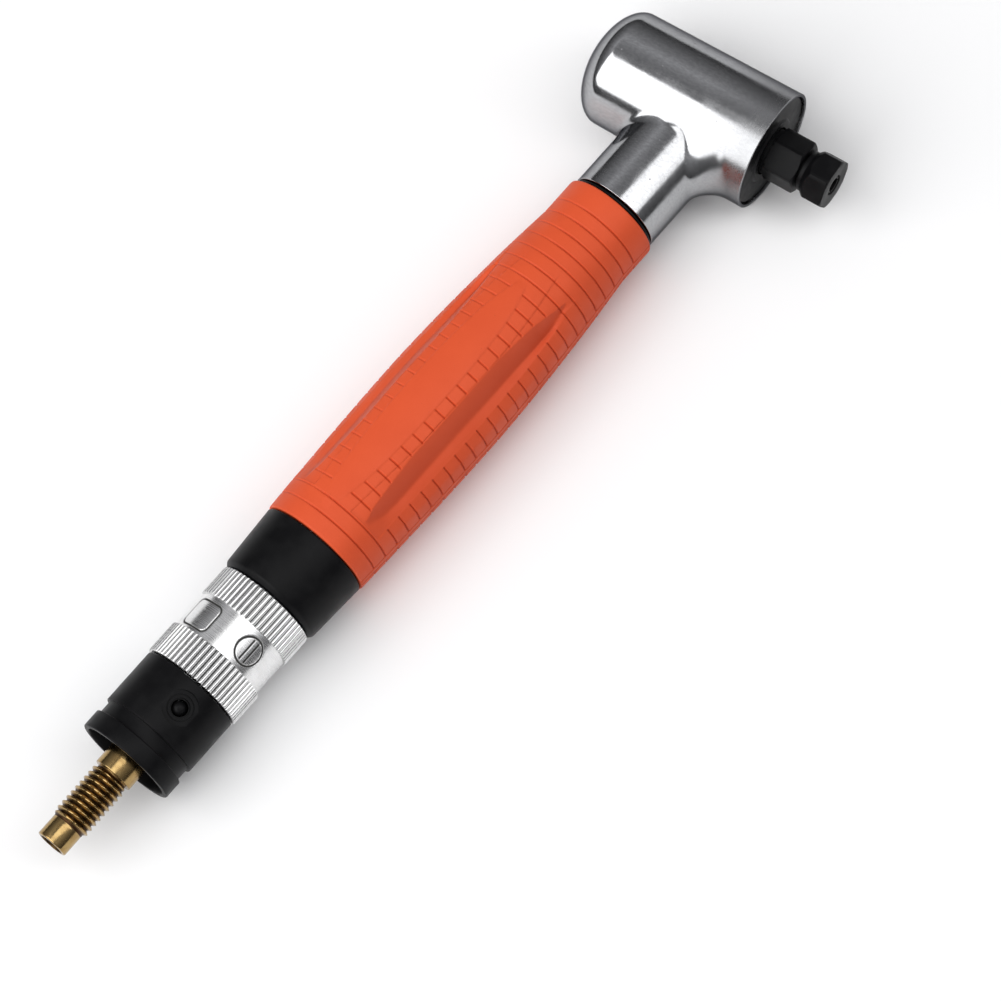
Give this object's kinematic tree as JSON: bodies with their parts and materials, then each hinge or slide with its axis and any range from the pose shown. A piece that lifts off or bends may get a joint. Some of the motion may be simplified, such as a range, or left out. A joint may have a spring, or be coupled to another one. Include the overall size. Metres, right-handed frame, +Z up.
{
  "type": "pneumatic angle grinder",
  "caption": "Straight-handled air tool with a rubber grip, a twist throttle, a threaded inlet and an angled head with a small collet for mounted points.",
  "frame": {"origin": "on the surface it lies on, under the middle of the footprint", "axes": "+X along the handle from the air inlet to the head, -Y the side that the collet points to, +Z up"},
  "size_m": [0.2104, 0.0565, 0.0256],
  "materials": {
    "brass": "turned and threaded, bright",
    "black_oxide": "black oxide, satin",
    "satin_aluminium": "fine turned, knurled bands",
    "polished_head": "mirror polished casting",
    "orange_rubber": "moulded, matt, ribbed",
    "seal_rubber": "smooth black nitrile",
    "steel": "ground",
    "motor_iron": "honed bore, machined faces",
    "vane_fibre": "laminated phenolic, matt",
    "bronze": "machined bearing bronze"
  },
  "bodies": {
    "casing": {"inlet_spigot": "brass", "exhaust_sleeve": "black_oxide", "sleeve_set_screw": "black_oxide", "valve_body": "steel", "stop_pin": "steel", "valve_spring": "steel", "valve_seat_seal": "seal_rubber", "ring_seal_rear": "seal_rubber", "ring_seal_front": "seal_rubber", "rear_collar": "black_oxide", "motor_housing": "steel", "grip": "orange_rubber", "rear_gasket": "seal_rubber", "disc_spring": "steel", "rear_end_plate": "motor_iron", "front_end_plate": "motor_iron", "cylinder_liner": "motor_iron", "liner_dowel": "steel", "pinion_bush": "bronze", "pinion_snap_ring": "steel", "neck_ring": "black_oxide", "head_housing": "polished_head", "dust_seal": "seal_rubber", "front_cap": "black_oxide", "motor_rear_bearing_outer_race": "steel", "motor_front_bearing_outer_race": "steel", "pinion_bearing_outer_race": "steel", "spindle_rear_bearing_outer_race": "steel", "spindle_front_bearing_outer_race": "steel"},
    "throttle": {"throttle_ring": "satin_aluminium"},
    "valve": {"valve_plunger": "steel", "plunger_pin": "steel"},
    "rotor_shaft": {"rotor": "steel", "vane_1": "vane_fibre", "vane_2": "vane_fibre", "vane_3": "vane_fibre", "vane_4": "vane_fibre", "drive_coupling": "steel", "pinion_shaft": "steel", "motor_rear_bearing_inner_race": "steel", "motor_front_bearing_inner_race": "steel", "pinion_bearing_inner_race": "steel"},
    "motor_rear_cage": {"motor_rear_bearing_ball_cage": "bronze"},
    "motor_front_cage": {"motor_front_bearing_ball_cage": "bronze"},
    "pinion_cage": {"pinion_bearing_ball_cage": "bronze"},
    "spindle_rear_cage": {"spindle_rear_bearing_ball_cage": "bronze"},
    "spindle_front_cage": {"spindle_front_bearing_ball_cage": "bronze"},
    "output_spindle": {"spindle": "black_oxide", "bevel_gear": "steel", "gear_spacer": "steel", "front_spacer": "steel", "spindle_rear_bearing_inner_race": "steel", "spindle_front_bearing_inner_race": "steel"},
    "collet_carrier": {"collet": "black_oxide"},
    "clamping_nut": {"collet_nut": "black_oxide"}
  },
  "joints": [
    {"name": "ring_turn", "type": "hinge", "parent": "casing", "child": "throttle", "pos_m": [-0.10523, 0.003, 0.0128], "axis": [1, 0, 0], "range_deg": [0, 60]},
    {"name": "valve_slide", "type": "slide", "parent": "casing", "child": "valve", "axis": [1, 0, 0], "range_m": [0, 0.0015], "deforming": ["valve_spring"]},
    {"name": "rotor_spin", "type": "hinge", "parent": "casing", "child": "rotor_shaft", "pos_m": [-0.10523, 0.003, 0.0128], "axis": [1, 0, 0], "continuous": true},
    {"name": "spindle_spin", "type": "hinge", "parent": "casing", "child": "output_spindle", "pos_m": [0.09052, 0.003, 0.0128], "axis": [0.1219, -0.9925, 0], "continuous": true},
    {"name": "motor_rear_cage_spin", "type": "hinge", "parent": "casing", "child": "motor_rear_cage", "pos_m": [-0.10523, 0.003, 0.0128], "axis": [1, 0, 0], "continuous": true},
    {"name": "motor_front_cage_spin", "type": "hinge", "parent": "casing", "child": "motor_front_cage", "pos_m": [-0.10523, 0.003, 0.0128], "axis": [1, 0, 0], "continuous": true},
    {"name": "pinion_cage_spin", "type": "hinge", "parent": "casing", "child": "pinion_cage", "pos_m": [-0.10523, 0.003, 0.0128], "axis": [1, 0, 0], "continuous": true},
    {"name": "spindle_rear_cage_spin", "type": "hinge", "parent": "casing", "child": "spindle_rear_cage", "pos_m": [0.09052, 0.003, 0.0128], "axis": [0.1219, -0.9925, 0], "continuous": true},
    {"name": "spindle_front_cage_spin", "type": "hinge", "parent": "casing", "child": "spindle_front_cage", "pos_m": [0.09052, 0.003, 0.0128], "axis": [0.1219, -0.9925, 0], "continuous": true},
    {"name": "collet_slide", "type": "slide", "parent": "output_spindle", "child": "collet_carrier", "axis": [0.1219, -0.9925, 0], "range_m": [0, 0.0016]},
    {"name": "nut_turn", "type": "hinge", "parent": "collet_carrier", "child": "clamping_nut", "pos_m": [0.09052, 0.003, 0.0128], "axis": [0.1219, -0.9925, 0], "range_deg": [0, 720]}
  ],
  "couplings": [
    {"joint": "valve_slide", "follows": "ring_turn", "m_per_rad": 0.0014324},
    {"joint": "spindle_spin", "follows": "rotor_spin", "ratio": -0.8},
    {"joint": "motor_rear_cage_spin", "follows": "rotor_spin", "ratio": 0.42465},
    {"joint": "motor_front_cage_spin", "follows": "rotor_spin", "ratio": 0.42465},
    {"joint": "pinion_cage_spin", "follows": "rotor_spin", "ratio": 0.39242},
    {"joint": "spindle_rear_cage_spin", "follows": "rotor_spin", "ratio": -0.32141},
    {"joint": "spindle_front_cage_spin", "follows": "rotor_spin", "ratio": -0.32551},
    {"joint": "collet_slide", "follows": "nut_turn", "m_per_rad": 0.00011937}
  ]
}
